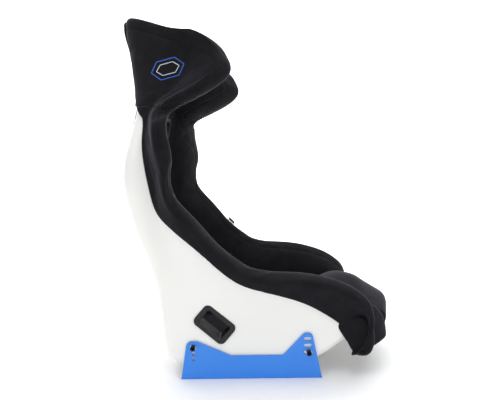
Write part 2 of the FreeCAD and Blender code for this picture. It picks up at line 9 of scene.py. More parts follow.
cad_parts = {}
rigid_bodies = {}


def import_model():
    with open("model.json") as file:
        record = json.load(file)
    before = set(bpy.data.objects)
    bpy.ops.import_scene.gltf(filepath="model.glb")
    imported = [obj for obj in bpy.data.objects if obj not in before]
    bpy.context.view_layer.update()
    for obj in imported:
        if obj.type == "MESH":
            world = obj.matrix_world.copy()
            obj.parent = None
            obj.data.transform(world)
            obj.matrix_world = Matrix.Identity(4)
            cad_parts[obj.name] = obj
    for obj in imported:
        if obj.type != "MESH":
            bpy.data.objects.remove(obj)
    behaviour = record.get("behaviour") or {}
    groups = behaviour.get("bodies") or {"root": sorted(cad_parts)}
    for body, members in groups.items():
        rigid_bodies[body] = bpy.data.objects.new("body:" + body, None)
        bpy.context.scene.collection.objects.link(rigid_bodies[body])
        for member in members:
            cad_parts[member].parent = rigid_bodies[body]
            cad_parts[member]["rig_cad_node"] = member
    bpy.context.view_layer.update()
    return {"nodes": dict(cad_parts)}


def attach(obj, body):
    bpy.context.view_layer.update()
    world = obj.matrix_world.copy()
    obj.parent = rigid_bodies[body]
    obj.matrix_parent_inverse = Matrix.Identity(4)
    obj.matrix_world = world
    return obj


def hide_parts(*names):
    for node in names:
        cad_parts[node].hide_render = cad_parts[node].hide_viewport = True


# Looks of a fixed-back racing seat: sewn black covers over foam, a white gelcoat shell,
# blue powder-coated side brackets and black belt-slot bezels. Metres, X forward, Z up.

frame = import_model()

MM = 0.001
SIDES = {"left": 1, "right": -1}

# ---- the seat's cross-sections -----------------------------------------------------------

# A station is a plane through the seat that holds the Y direction. It starts at (x, z) on the
# shell's outer face and leans by "lean" degrees from +X. "wall" is how far the side wall
# reaches along it. Half widths are at the back of the wall and at its rim; "corner" rounds one
# into the other; "crown" lifts the middle of the panel; "seam" is the half width of the middle
# pad, "pad" its thickness, "roll" the thickness of the padding over the rim, and "wrap" how
# far the cover comes back over the outer face. Millimetres.
FIELDS = ("x", "z", "lean", "wall", "half", "rim", "corner", "crown", "seam", "pad", "roll", "wrap")
STATIONS = np.array((
    (332, 68, 15, -50, 163, 198, 30, 34, 130, 26, 10, 30),
    (320, 110, 40, -70, 168, 206, 32, 28, 130, 38, 13, 34),
    (292, 112, 70, 24, 178, 210, 32, 36, 130, 56, 20, 50),
    (272, 86, 86, 98, 188, 214, 34, 48, 130, 78, 27, 96),
    (240, 84, 95, 133, 201, 224, 30, 34, 130, 92, 32, 92),
    (150, 38, 93, 203, 209, 234, 20, 30, 130, 94, 36, 50),
    (20, 20, 85, 229, 209, 238, 28, 12, 130, 74, 38, 20),
    (-110, 16, 72, 270, 209, 240, 34, 4, 130, 48, 38, 17),
    (-205, 38, 69, 314, 209, 240, 50, 0, 130, 38, 38, 20),
    (-230, 120, 71, 281, 207, 240, 60, -6, 126, 40, 35, 33),
    (-248, 230, 72, 216, 203, 240, 66, -10, 124, 42, 34, 45),
    (-290, 345, 58, 174, 204, 248, 70, -12, 122, 36, 34, 62),
    (-318, 490, 34, 136, 212, 260, 70, -10, 122, 28, 34, 52),
    (-298, 600, 24, 91, 205, 248, 62, -4, 118, 26, 34, 40),
    (-276, 690, -8, 70, 186, 214, 54, -3, 108, 28, 35, 52),
    (-281, 770, -12, 170, 172, 222, 54, -6, 100, 36, 50, 168),
    (-290, 830, -13, 220, 164, 222, 54, -8, 98, 36, 52, 222),
    (-300, 889, -18, 230, 158, 214, 52, -6, 96, 30, 44, 206),
    (-294, 917, -18, 212, 158, 212, 52, -6, 96, 30, 44, 200),
), float)
T_FLAT, T_CORNER = 0.36, 0.60   # shares of the outer face at which its flat and its corner end
BEHIND_HEAD = 0.13              # share by which a wing's cover goes on behind the head
WALL_FLAT = 0.36                # share of the wall that stands straight before it flares
CORNER_SHARE = 0.45             # most of the wall's height that its corner may take
LOW_WALL = 40.0                 # wall height below which the section opens into a plain panel

# Millimetres.
SHELL_THICK = 4.5
GLUE_GAP = 1.0          # room for glue between a fixed pad and the shell
SEAM_GAP = 0.5          # half of the gap between a middle pad and a rim pad
OUTER_PAD = 8.0         # padding on the outer side of a rim pad
HEAD_BACK = 11.0        # padding on the back of the head
TOP_DROP = 40.0         # how much lower the walls are at the crown of the head
CUSHION_LIFT = 5.0      # underside of the loose cushion above the shell

# Stations at which pieces begin and end.
CUSHION_END, BACK_START, NECK, TOP, CROWN = 7.9, 7.92, 14.0, 17.0, 18.0


def spline_bends(values):
    """Second derivatives of the natural cubic spline through the rows at 0, 1, 2 and so on."""
    n = len(values)
    matrix = np.eye(n)
    inner = np.arange(1, n - 1)
    matrix[inner, inner] = 4.0
    matrix[inner, inner - 1] = matrix[inner, inner + 1] = 1.0
    right = np.zeros_like(values)
    right[1:-1] = 6.0 * (values[2:] - 2 * values[1:-1] + values[:-2])
    return np.linalg.solve(matrix, right)


BENDS = spline_bends(STATIONS)


class Sections:
    """Cross-sections at the stations s, one row each. Points in them are (u, y), in millimetres."""

    def __init__(self, s):
        s = np.asarray(s, float)
        i = np.minimum(s.astype(int), len(STATIONS) - 2)
        f = (s - i)[:, None]
        g = 1 - f
        rows = g * STATIONS[i] + f * STATIONS[i + 1]
        rows += ((g ** 3 - g) * BENDS[i] + (f ** 3 - f) * BENDS[i + 1]) / 6
        for name, column in zip(FIELDS, rows.T):
            setattr(self, name, column[:, None])
        full = np.sqrt(1 - np.clip(s[:, None] - TOP, 0, 1) ** 2)
        self.roll, self.pad = self.roll * full, self.pad * full
        self.wall = self.wall - TOP_DROP * (1 - full)
        self.out, self.back = OUTER_PAD * full, HEAD_BACK * full
        lean = np.radians(self.lean)
        self.along = np.stack((np.cos(lean), 0 * lean, np.sin(lean)), -1)
        self.start = np.stack((self.x, 0 * self.x, self.z), -1)
        self.low = np.sign(self.wall) * np.minimum(self.corner, CORNER_SHARE * np.abs(self.wall))
        self.s = s[:, None]

    def outer(self, t):
        """The shell's outer face at t: a crowned flat, a quarter-ellipse corner, then a flaring wall."""
        flat = self.half - self.corner
        open_up = np.exp(-(self.wall / LOW_WALL) ** 2)
        share = np.clip(t / T_FLAT, 0, 1)
        turn = np.clip((t - T_FLAT) / (T_CORNER - T_FLAT), 0, 1)
        w = np.clip((t - T_CORNER) / (1 - T_CORNER), 0, 1)
        a = math.pi / 2 * turn
        sideways = (1 - open_up) * np.sin(a) + open_up * turn
        flare = np.clip((w - WALL_FLAT) / (1 - WALL_FLAT), 0, 1) ** 2
        flare = (1 - open_up) * flare + open_up * w
        u = self.crown * np.cos(math.pi / 2 * share) ** 2 + self.low * (1 - np.cos(a))
        u = u + (self.wall - self.low) * w
        y = flat * share + self.corner * sideways + (self.rim - self.half) * flare
        return np.stack(np.broadcast_arrays(u, y), -1)

    def offset(self, t, inward, onward=0.0):
        """(u, y) at t, moved inward along the normal and onward past the rim."""
        t = np.broadcast_to(t, (len(self.s), np.shape(t)[-1] if np.ndim(t) else 1))
        step = 1e-4
        run = self.outer(np.minimum(t + step, 1)) - self.outer(np.maximum(t - step, 0))
        run /= np.linalg.norm(run, axis=-1, keepdims=True)
        normal = np.stack((run[..., 1], -run[..., 0]), -1)
        inward = np.broadcast_to(inward, t.shape)[..., None]
        onward = np.broadcast_to(onward, t.shape)[..., None]
        return self.outer(t) + normal * inward + run * onward

    def share_at(self, y):
        """The t at which the flat panel reaches y."""
        return T_FLAT * y / (self.half - self.corner)

    def place(self, points, side=1):
        """The 3-D points, in metres, of (u, y)."""
        out = self.start + self.along * points[..., :1]
        out[..., 1] = side * points[..., 1]
        return out * MM


def basis(poles, at):
    """Weights of a clamped uniform cubic B-spline's poles at the parameters at, by Cox and de Boor."""
    degree = 3
    inner = np.linspace(0, 1, poles - degree + 1)
    knots = np.concatenate((np.zeros(degree), inner, np.ones(degree)))
    at = np.clip(at, 0, 1 - 1e-9)[:, None]
    weight = ((knots[:-1] <= at) & (at < knots[1:])).astype(float)
    for k in range(1, degree + 1):
        left = knots[k:-1] - knots[:-k - 1]
        right = knots[k + 1:] - knots[1:-k]
        rise = (at - knots[:-k - 1]) / np.where(left > 0, left, 1) * (left > 0)
        fall = (knots[k + 1:] - at) / np.where(right > 0, right, 1) * (right > 0)
        weight = rise * weight[:, :-1] + fall * weight[:, 1:]
    return weight


def smooth_step(value, low, high):
    """0 below low, 1 above high, and a smooth rise between."""
    x = np.clip((value - low) / (high - low), 0, 1)
    return x * x * (3 - 2 * x)


def hem_t(row):
    """The t on the outer face at which a rim pad's cover ends."""
    reach = row.wrap / np.maximum(1.0, np.abs(row.wall - row.low)) * (1 - T_CORNER)
    behind = BEHIND_HEAD * smooth_step(row.s, NECK, NECK + 0.6)
    return np.maximum(1.0 - reach, T_FLAT + 0.06) - behind


# The outer side of a rim pad: shares of the way from its hem to the rim, and heights.
OUTER_SHARES = (0.85, 0.72, 0.60, 0.48, 0.38, 0.28, 0.20, 0.12, 0.06, 0.0)
OUTER_HEIGHTS = (1.0, 1.0, 1.0, 1.0, 1.0, 1.0, 0.98, 0.95, 0.85, 0.60)


def bolster_poles(row):
    """Poles of a rim pad's free face, from the seam, up the wall and over the rim to the hem."""
    base = SHELL_THICK + GLUE_GAP
    seam = row.seam + SEAM_GAP
    seam_u = row.outer(row.share_at(row.seam))[..., 0] + base + row.pad * 0.86
    roll, out = row.roll, row.out
    nose = 0.30 * roll + 8.0
    hem = hem_t(row)
    by_seam = np.stack((seam_u + 2.0, seam + 9.0), -1)
    up_wall = row.offset(0.70, base + roll * 1.02)
    over_fold = row.offset(0.48, base + roll * 1.3)
    hollow = np.clip((row.wall + 15) / 75, 0, 1)[..., None]
    corner = hollow * (by_seam + up_wall) / 2 + (1 - hollow) * over_fold
    poles = [np.stack((seam_u, seam), -1), by_seam, corner, up_wall]
    poles += [row.offset(0.80, base + roll * 1.04), row.offset(0.91, base + roll * 1.02)]
    for high, past in ((0.96, 0.55), (0.62, 1.10), (0.12, 1.14)):
        poles.append(row.offset(1.0, base + roll * high, nose * past))
    poles += [row.offset(1.0, -out * 0.7, 0.95 * nose), row.offset(1.0, -out * 1.05, 0.35 * nose)]
    for share, height in zip(OUTER_SHARES, OUTER_HEIGHTS):
        poles.append(row.offset(hem + (1 - hem) * share, -out * height))
    return np.concatenate(poles, 1)


def bolster_bed(row, count):
    """The glued side of a rim pad, from the hem round the shell's rim to the seam."""
    shell = np.where(row.s > TOP, 0.0, 1.0)
    middle = SHELL_THICK / 2
    base = middle + (SHELL_THICK / 2 + GLUE_GAP) * shell
    outside = middle - (SHELL_THICK / 2 + GLUE_GAP) * shell
    hem = hem_t(row)
    back = row.offset(hem + (1 - hem) * np.linspace(0.03, 1, count), outside)
    tip = [row.offset(1.0, outside, GLUE_GAP), row.offset(1.0, base, GLUE_GAP)]
    end = row.share_at(row.seam + SEAM_GAP)
    inside = row.offset(1 + (end - 1) * np.linspace(0, 1, 2 * count), base)
    return np.concatenate([back] + tip + [inside], 1)


def pad_poles(row):
    """Poles of a middle pad's free face, from its right seam to its left seam."""
    half = row.seam - SEAM_GAP
    right = []
    for share, height in ((1.0, 0.84), (0.95, 0.90), (0.86, 0.97), (0.60, 1.0), (0.30, 1.0)):
        y = half * share
        u = row.outer(row.share_at(y))[..., 0] + SHELL_THICK + row.pad * height
        right.append(np.stack((u, y), -1))
    middle = np.stack((row.outer(0.0 * half)[..., 0] + SHELL_THICK + row.pad, 0.0 * half), -1)
    return np.concatenate([p * (1, -1) for p in right] + [middle] + right[::-1], 1)


def pad_bed(row, lift, count):
    """The underside of a middle pad, lift above the shell, from its left to its right seam."""
    end = row.share_at(row.seam - SEAM_GAP)
    level = np.where(row.s > TOP, SHELL_THICK / 2, SHELL_THICK + lift)
    left = row.offset(end * np.linspace(1, 0, count), level)
    left[..., 1] = (row.seam - SEAM_GAP) * np.linspace(1, 0, count)
    return np.concatenate((left, left[:, -2::-1] * (1, -1)), 1)


# ---- grids and meshes ---------------------------------------------------------------------

def spread(length, count, edge=6.0 * MM):
    """Shares of a length: evenly spaced, with four finer steps in the last few millimetres."""
    near = min(edge / length, 0.2)
    fine = near * np.array((0.0, 0.05, 0.18, 0.38, 0.66))
    middle = np.linspace(near, 1 - near, max(3, count - 10))
    return np.concatenate((fine, middle, 1 - fine[::-1]))


def walk(points, shares):
    """Parameters, on 0 to 1, at the given shares of the average length of rows of points."""
    run = np.concatenate(((0.0,), np.cumsum(np.linalg.norm(np.diff(points, axis=1), axis=-1).mean(0))))
    return np.interp(shares * run[-1], run, np.linspace(0, 1, len(run)))


def bent(poles, shares):
    """Points at shares of the length of the smooth curves that rows of poles lead."""
    dense = basis(poles.shape[1], np.linspace(0, 1, 240)) @ poles
    return basis(poles.shape[1], walk(dense, shares)) @ poles


def stations(first, last, shares, t=1.0):
    """Stations at shares of the way from first to last along the line at t on the outer face."""
    dense = np.linspace(first, last, 400)
    row = Sections(dense)
    line = row.place(row.outer(np.full((400, 1), t))).reshape(1, 400, 3)
    return first + (last - first) * walk(line, shares)


def normals(grid):
    """Unit normals of a grid of points: across its columns, crossed with down its rows."""
    out = np.cross(np.gradient(grid, axis=1), np.gradient(grid, axis=0))
    return out / (np.linalg.norm(out, axis=-1, keepdims=True) + 1e-15)


def arc(grid, axis):
    """Distance travelled along an axis of a grid, zero at its start."""
    steps = np.linalg.norm(np.diff(grid, axis=axis), axis=-1)
    return np.insert(np.cumsum(steps, axis=axis), 0, 0.0, axis=axis)


def resample(grid, rows, columns):
    """Catmull-Rom values of an even grid of vectors at shares of its height and its width."""
    for shares in (rows, columns):
        last = len(grid) - 1
        at = shares * last
        i = np.minimum(at.astype(int), last - 1)
        f = (at - i)[:, None, None]
        a, b, c, d = (grid[np.clip(i + k, 0, last)] for k in (-1, 0, 1, 2))
        grid = b + f * (c - a + f * (2 * a - 5 * b + 4 * c - d + f * (3 * (b - c) + d - a))) / 2
        grid = grid.swapaxes(0, 1)
    return grid


def quads(rows, columns, closed=False, looped=False):
    """Corner numbers of a grid's quads; closed joins its last column to its first, looped its rows."""
    i = np.arange(rows if looped else rows - 1)[:, None]
    j = np.arange(columns if closed else columns - 1)[None]
    k, n = (j + 1) % columns, (i + 1) % rows
    ring = (i * columns + j, i * columns + k, n * columns + k, n * columns + j)
    return np.stack(np.broadcast_arrays(*ring), -1).reshape(-1, 4).tolist()


def new_object(name, points, faces, uv=None):
    """A smooth-shaded object from arrays of points and faces, with a uv for each point."""
    mesh = bpy.data.meshes.new(name)
    mesh.from_pydata(points.reshape(-1, 3).tolist(), [], faces)
    if uv is not None:
        corner = np.empty(len(mesh.loops), np.int32)
        mesh.loops.foreach_get("vertex_index", corner)
        layer = mesh.uv_layers.new(name="cloth")
        layer.data.foreach_set("uv", uv.reshape(-1, 2)[corner].ravel())
    mesh.polygons.foreach_set("use_smooth", np.ones(len(mesh.polygons), bool))
    mesh.update()
    piece = bpy.data.objects.new(name, mesh)
    bpy.context.scene.collection.objects.link(piece)
    return piece


def outward(piece):
    """Turns the faces of a closed piece outwards."""
    shape = bmesh.new()
    shape.from_mesh(piece.data)
    bmesh.ops.recalc_face_normals(shape, faces=shape.faces)
    shape.to_mesh(piece.data)
    shape.free()
    return piece


def tube(name, *parts):
    """A closed piece whose rows run round the given grids in turn, with flat ends."""
    ring = np.concatenate(parts, 1)
    rows, columns = ring.shape[:2]
    faces = quads(rows, columns, closed=True)
    faces += [list(range(columns)), list(range((rows - 1) * columns, rows * columns))]
    return outward(new_object(name, ring, faces, np.stack((arc(ring, 0), arc(ring, 1)), -1)))


def prism(centre, normal, long_axis, size, radius, low, high):
    """A rounded rectangular prism between two distances along its normal, for cutting openings."""
    normal, long_axis = (np.array(v, float) / np.linalg.norm(v) for v in (normal, long_axis))
    long_axis = long_axis - normal * (long_axis @ normal)
    short_axis = np.cross(normal, long_axis)
    turn = np.radians(np.arange(0, 360, 15) + 7.5)
    reach = np.array(size) / 2 - radius
    a = np.sign(np.cos(turn)) * reach[0] + radius * np.cos(turn)
    b = np.sign(np.sin(turn)) * reach[1] + radius * np.sin(turn)
    outline = np.array(centre) + a[:, None] * long_axis + b[:, None] * short_axis
    points = np.stack([outline + normal * level for level in (low, high)]) * MM
    count = len(turn)
    faces = quads(2, count, closed=True) + [list(range(count)), list(range(count, 2 * count))]
    return outward(new_object("opening", points, faces))


def cut(piece, cutters):
    """Takes the cutters out of a piece for good."""
    for cutter in cutters:
        modifier = piece.modifiers.new("cut", "BOOLEAN")
        modifier.object = cutter
        modifier.solver = "EXACT"
        graph = bpy.context.evaluated_depsgraph_get()
        mesh = bpy.data.meshes.new_from_object(piece.evaluated_get(graph))
        piece.modifiers.clear()
        piece.data = mesh
        mesh.name = piece.name


# ---- cloth --------------------------------------------------------------------------------

FRAMES = 16
HOLD = 0.10             # how firmly the foam under a cover holds it
PRESSURE = 2.0
FULLNESS = 0.006        # share by which a cover is cut larger than its foam
COVER_CAP = 3.5 * MM    # furthest that a cover rises off its foam


def inflate(grid, held):
    """The grid as cloth over foam, sewn down where held, cut a little too large and puffed up."""
    rows, columns = grid.shape[:2]
    piece = new_object("cloth", grid, quads(rows, columns))
    group = piece.vertex_groups.new(name="sewn")
    group.add(np.flatnonzero(~held.ravel()).tolist(), HOLD, "REPLACE")
    group.add(np.flatnonzero(held.ravel()).tolist(), 1.0, "REPLACE")
    modifier = piece.modifiers.new("Cloth", "CLOTH")
    cloth = modifier.settings
    cloth.quality = 6
    cloth.mass = 0.25
    cloth.tension_stiffness = cloth.compression_stiffness = 20
    cloth.shear_stiffness = 8
    cloth.bending_stiffness = 0.3
    cloth.use_pressure = True
    cloth.uniform_pressure_force = PRESSURE
    cloth.shrink_min = -FULLNESS
    cloth.effector_weights.gravity = 0
    cloth.vertex_group_mass = "sewn"
    modifier.point_cache.frame_end = FRAMES
    for number in range(1, FRAMES + 1):
        bpy.context.scene.frame_set(number)
    graph = bpy.context.evaluated_depsgraph_get()
    found = np.empty(grid.size, np.float32)
    piece.evaluated_get(graph).to_mesh().vertices.foreach_get("co", found)
    bpy.data.objects.remove(piece)
    bpy.context.scene.frame_set(1)
    move = found.reshape(grid.shape).astype(float) - grid
    size = np.linalg.norm(move, axis=-1, keepdims=True)
    return move * COVER_CAP / (COVER_CAP + size)


# ---- covers -------------------------------------------------------------------------------

DENSE = 1.0
SEAM_DEEP = 2.0 * MM
SEAM_WIDE = 3.0 * MM
ROLL_SEAM = 28 * MM         # from the foremost line of a roll back to the seam on its outer side
INNER_SEAM = -30 * MM       # and to the one on the side of the occupant
BAND = 33 * MM              # width of the band round a wing's edge
STATION_STEP = 59 * MM      # height between the stations of a wing
CLEAR = 1.2                 # room round a bezel in the padding

# Belt slots: centre, outward normal, long axis and how deep the inner flange lies.
SLOTS = {
    "lap": ((-88, 209.6, 140), (0, 1, 0), (0.758, 0, -0.652), 40.0),
    "shoulder": ((-282.1, 96, 656.7), (-0.974, 0.024, 0.227), (0, 1, 0), 31.0),
    "crotch": ((62.4, 0, 35.1), (0.224, 0, -0.975), (0, 1, 0), 9.8),
}
THROAT = (77, 46)
FLANGE = (99, 64)
CUT_DEPTH = 145.0

# What the seat cushion gains at its nose, and loses in the hollow above it and where it turns
# under: millimetres, then the station of its middle and its width in stations.
NOSE_FULL, NOSE_HOLLOW, NOSE_SLIM = (10.0, 0.82, 0.34), (8.0, 1.8, 0.6), (15.0, 0.0, 0.45)

# Outline of the padded end of a bolster, as poles X and Z of a smooth loop, its place in Y, and
# how softly its face turns in at the outline: 1 is an ellipse and near 0 a square edge.
GUSSET = (
    (212, 138), (226, 114), (240, 94), (246, 84), (254, 68), (262, 54),
    (278, 48), (302, 50), (314, 74), (316, 112), (300, 150), (258, 160),
)
GUSSET_Y, GUSSET_THICK, GUSSET_EDGE = 195.0, 28.0, 0.25


def groove(distance, width):
    """A rounded valley: 1 at distance 0, fading over width."""
    return np.exp(-(distance / width) ** 2)


def edge_fall(distance, radius):
    """How far a face has dropped, at a distance from its edge, where that edge is rounded."""
    near = np.clip(distance / radius, 0, 1)
    return radius * (1 - np.sqrt(1 - (1 - near) ** 2))


def ripple(grid, seed, size):
    """Soft unevenness of hand-fitted covers: a sum of waves in space, about size apart."""
    random = np.random.default_rng(seed)
    total = 0.0
    for _ in range(9):
        direction = random.normal(size=3)
        direction *= 2 * math.pi / (np.linalg.norm(direction) * size * random.uniform(0.6, 1.7))
        total = total + np.sin(grid @ direction + random.uniform(0, 2 * math.pi))
    return total / 9


def near_slots(grid, reach=14.0):
    """1 away from the belt slots and 0 close to their bezels."""
    free = np.ones(grid.shape[:2])
    for centre, normal, long_axis, _ in SLOTS.values():
        normal, long_axis = np.array(normal, float), np.array(long_axis, float)
        away = grid / MM - np.array(centre)
        short_axis = np.cross(normal, long_axis)
        a = np.abs(away @ long_axis) - FLANGE[0] / 2
        b = np.abs(away @ short_axis) - FLANGE[1] / 2
        free *= smooth_step(np.maximum(a, b), 0.0, reach)
    return free


class Roll:
    """The grid of a rim pad's left cover, with each point's distance from the foremost line."""

    def __init__(self, s, columns, wing):
        self.row = Sections(s)
        flat = bent(bolster_poles(self.row), columns)
        self.grid = self.row.place(flat)
        run = arc(self.grid, 1)
        crest = (flat[..., 0] * np.sign(self.row.wall)).argmax(1).astype(float)
        crest = np.convolve(np.pad(crest, 12, mode="edge"), np.ones(25) / 25, "valid")
        column = np.arange(run.shape[1])
        at_tip = np.array([np.interp(c, column, line) for c, line in zip(crest, run)])
        self.tip = run - at_tip[:, None]
        if wing:
            edge = self.grid[np.arange(len(crest)), crest.astype(int)][:, ::2]
            away = self.grid[..., None, ::2] - edge
            self.tip = np.sign(self.tip) * np.sqrt((away ** 2).sum(-1)).min(-1)
        self.s = self.row.s
        self.long, self.wide = arc(self.grid, 0), run


def panel(roll, band):
    """Distance inside the seam that runs round a wing's panel, a band away from the wing's edge."""
    inside = np.sign(band) * roll.tip - abs(band)
    below_top = (TOP - roll.s) * STATION_STEP
    rounding = 12 * MM
    least = np.minimum(inside, below_top)
    apart = np.abs(inside - below_top)
    return least - rounding * np.log1p(np.exp(-apart / rounding))


def bolster_seams(roll):
    """Seams of a bolster as (distance, strength): outer, inner, and a short one beside the hips."""
    return (
        (roll.tip - ROLL_SEAM, smooth_step(roll.s, 10.6, 12.6)),
        (roll.tip - INNER_SEAM, 0.5 + 0 * roll.s),
        (roll.tip - 0.2 * ROLL_SEAM, 0.7 * groove(roll.s - 7.7, 0.9)),
    )


def wing_seams(roll):
    """Seams of a wing: round its outer panel and round its inner one."""
    return (panel(roll, BAND), 1 + 0 * roll.s), (panel(roll, -BAND), 0.9 + 0 * roll.s)


def bolster_folds(roll):
    """Height of a bolster's gathers at the neck and of the folds where it bends at the waist."""
    gathers = np.sin(2 * math.pi * roll.long / (9 * MM)) * smooth_step(roll.s, 13.5, 13.9)
    on_roll = smooth_step(roll.tip, -60 * MM, -20 * MM) * (1 - smooth_step(roll.tip, 20 * MM, 30 * MM))
    folds = np.sin(2 * math.pi * roll.tip / (13 * MM)) * groove(roll.s - 10.9, 0.55)
    on_side = smooth_step(roll.tip, -45 * MM, -15 * MM) * (1 - smooth_step(roll.tip, 30 * MM, 60 * MM))
    return 1.3 * MM * gathers * on_roll + 0.7 * MM * folds * on_side


def wing_folds(roll):
    """Height of the gathers where a wing's band turns in at the neck."""
    gathers = np.sin(2 * math.pi * roll.long / (8.5 * MM)) * (1 - smooth_step(roll.s, 14.1, 14.7))
    on_band = smooth_step(roll.tip, -60 * MM, -20 * MM) * (1 - smooth_step(roll.tip, 24 * MM, 31 * MM))
    return 1.5 * MM * gathers * on_band


def sewn_roll(name, s_at, size, wing, seams, folds, ends, seed):
    """A rim pad, left and right: its face puffed as cloth, with seams, folds and rounded edges."""
    rows, columns = size
    even_rows, even_columns = np.linspace(0, 1, rows // 3), np.linspace(0, 1, columns // 3)
    roll = Roll(s_at(even_rows), even_columns, wing)
    step = roll.wide[:, -1:] / len(even_columns)
    held = np.zeros(roll.grid.shape[:2], bool)
    held[[0, -1]] = held[:, [0, -1]] = True
    for distance, strength in seams(roll):
        held |= (np.abs(distance) < step * 0.6) & (strength > 0.4)
    puff = inflate(roll.grid, held)
    puff *= (near_slots(roll.grid) * np.sqrt(1 - np.clip(roll.s - TOP, 0, 1)))[..., None]

    fine_rows, fine_columns = spread(1.2, int(rows * DENSE)), spread(0.35, int(columns * DENSE))
    roll = Roll(s_at(fine_rows), fine_columns, wing)
    free = near_slots(roll.grid)
    down = edge_fall(roll.long, ends[0]) + edge_fall(roll.long[-1:] - roll.long, ends[1])
    down = down + edge_fall(roll.wide, 5 * MM) + edge_fall(roll.wide[:, -1:] - roll.wide, 2.2 * MM)
    for distance, strength in seams(roll):
        down = down + SEAM_DEEP * strength * groove(distance, SEAM_WIDE)
    down = down - free * (folds(roll) + 0.5 * MM * ripple(roll.grid, seed, 80 * MM))
    face = roll.grid + resample(puff, fine_rows, fine_columns) - normals(roll.grid) * down[..., None]
    bed = roll.row.place(bolster_bed(roll.row, 10))
    return {
        label: tube(f"{name}_{label}", face * (1, side, 1), bed * (1, side, 1))
        for label, side in SIDES.items()
    }


def nose(row):
    """The seat cushion's front: full at its nose, a little hollow above it, slim where it turns under."""
    full, hollow, slim = (amount * groove(row.s - middle, width)
                          for amount, middle, width in (NOSE_FULL, NOSE_HOLLOW, NOSE_SLIM))
    row.pad = row.pad + full - hollow - slim
    return row


def middle_pad(name, s_at, size, lift, ends, seed, shaped=lambda row: row):
    """A middle pad: its face puffed as cloth over foam, its edges rounded, closed underneath."""
    rows, columns = size
    even_rows, even_columns = np.linspace(0, 1, rows // 3), np.linspace(0, 1, columns // 3)
    row = shaped(Sections(s_at(even_rows)))
    grid = row.place(bent(pad_poles(row), even_columns))
    held = np.zeros(grid.shape[:2], bool)
    held[[0, -1]] = held[:, [0, -1]] = True
    puff = inflate(grid, held)
    puff *= (near_slots(grid) * near_slots(grid * (1, -1, 1)))[..., None]
    puff *= np.sqrt(1 - np.clip(row.s - TOP, 0, 1))[..., None]
    fine_rows, fine_columns = spread(0.6, int(rows * DENSE)), spread(0.26, int(columns * DENSE))
    row = shaped(Sections(s_at(fine_rows)))
    grid = row.place(bent(pad_poles(row), fine_columns))
    long, wide = arc(grid, 0), arc(grid, 1)
    side = np.minimum(wide, wide[:, -1:] - wide)
    free = near_slots(grid) * near_slots(grid * (1, -1, 1))
    down = edge_fall(side, 7 * MM) + edge_fall(long, ends[0]) + edge_fall(long[-1:] - long, ends[1])
    down = down + 1.2 * MM * groove((TOP - row.s) * STATION_STEP, SEAM_WIDE)
    down = down - free * 0.8 * MM * ripple(grid, seed, 90 * MM)
    face = grid + resample(puff, fine_rows, fine_columns) - normals(grid) * down[..., None]
    return tube(name, face, row.place(pad_bed(row, lift, 12)))


def head_back(name, s_at, size):
    """The thin padded panel on the back of the head, between the hems of the wings."""
    rows, columns = size
    fine_rows = spread(0.25, int(rows * DENSE))
    share = spread(0.35, int(columns * DENSE)) * 2 - 1
    row = Sections(s_at(fine_rows))
    t = (hem_t(row) + 0.004) * np.abs(share)
    thin = 0.55 + 0.45 * smooth_step(row.s, NECK, NECK + 1.0)
    sides = np.stack((np.ones_like(share), np.sign(share)), -1)
    grid = row.place(row.offset(t, -row.back * thin) * sides)
    bed = row.place(row.offset(t, -GLUE_GAP * (row.s < TOP)) * sides)
    long, wide = arc(grid, 0), arc(grid, 1)
    side = np.minimum(wide, wide[:, -1:] - wide)
    down = edge_fall(side, 5 * MM) + edge_fall(long, 4 * MM) - 0.5 * MM * ripple(grid, 5, 80 * MM)
    down = down + 1.2 * MM * groove((TOP - row.s) * STATION_STEP, SEAM_WIDE)
    down = np.minimum(down, (row.back * thin - GLUE_GAP).clip(0.2) * MM)
    return tube(name, grid + normals(grid) * down[..., None], bed[:, ::-1])


def up_to(first, last, t=1.0):
    """Stations between two of them, by share of the length."""
    return lambda shares: stations(first, last, shares, t)


def over_top(first, t=1.0):
    """Stations from first over the rounded top edge, by share of the length."""
    bend = 0.86

    def at(shares):
        below = stations(first, TOP, np.clip(shares / bend, 0, 1), t)
        turn = np.clip((shares - bend) / (1 - bend), 0, 1) * math.pi / 2 * 0.97
        return np.where(shares < bend, below, TOP + (CROWN - TOP) * np.sin(turn))
    return at


bolsters = sewn_roll("bolster", up_to(0.0, NECK - 0.006), (440, 130), False,
                     bolster_seams, bolster_folds, (6 * MM, 1.6 * MM), 11)
wings = sewn_roll("wing", over_top(NECK + 0.006), (150, 190), True,
                  wing_seams, wing_folds, (1.6 * MM, 0.5 * MM), 12)
back_pad = middle_pad("back_cushion", up_to(BACK_START, NECK - 0.006, 0.0), (240, 96),
                      GLUE_GAP, (5 * MM, 2 * MM), 21)
head_pad = middle_pad("head_cushion", over_top(NECK + 0.006, 0.0), (96, 96), GLUE_GAP,
                      (2 * MM, 0.5 * MM), 22)
seat_pad = middle_pad("seat_squab", up_to(0.0, CUSHION_END, 0.0), (210, 96), CUSHION_LIFT,
                      (9 * MM, 6 * MM), 23, nose)
back_panel = head_back("head_back_cover", over_top(NECK + 0.006, 0.0), (70, 96))


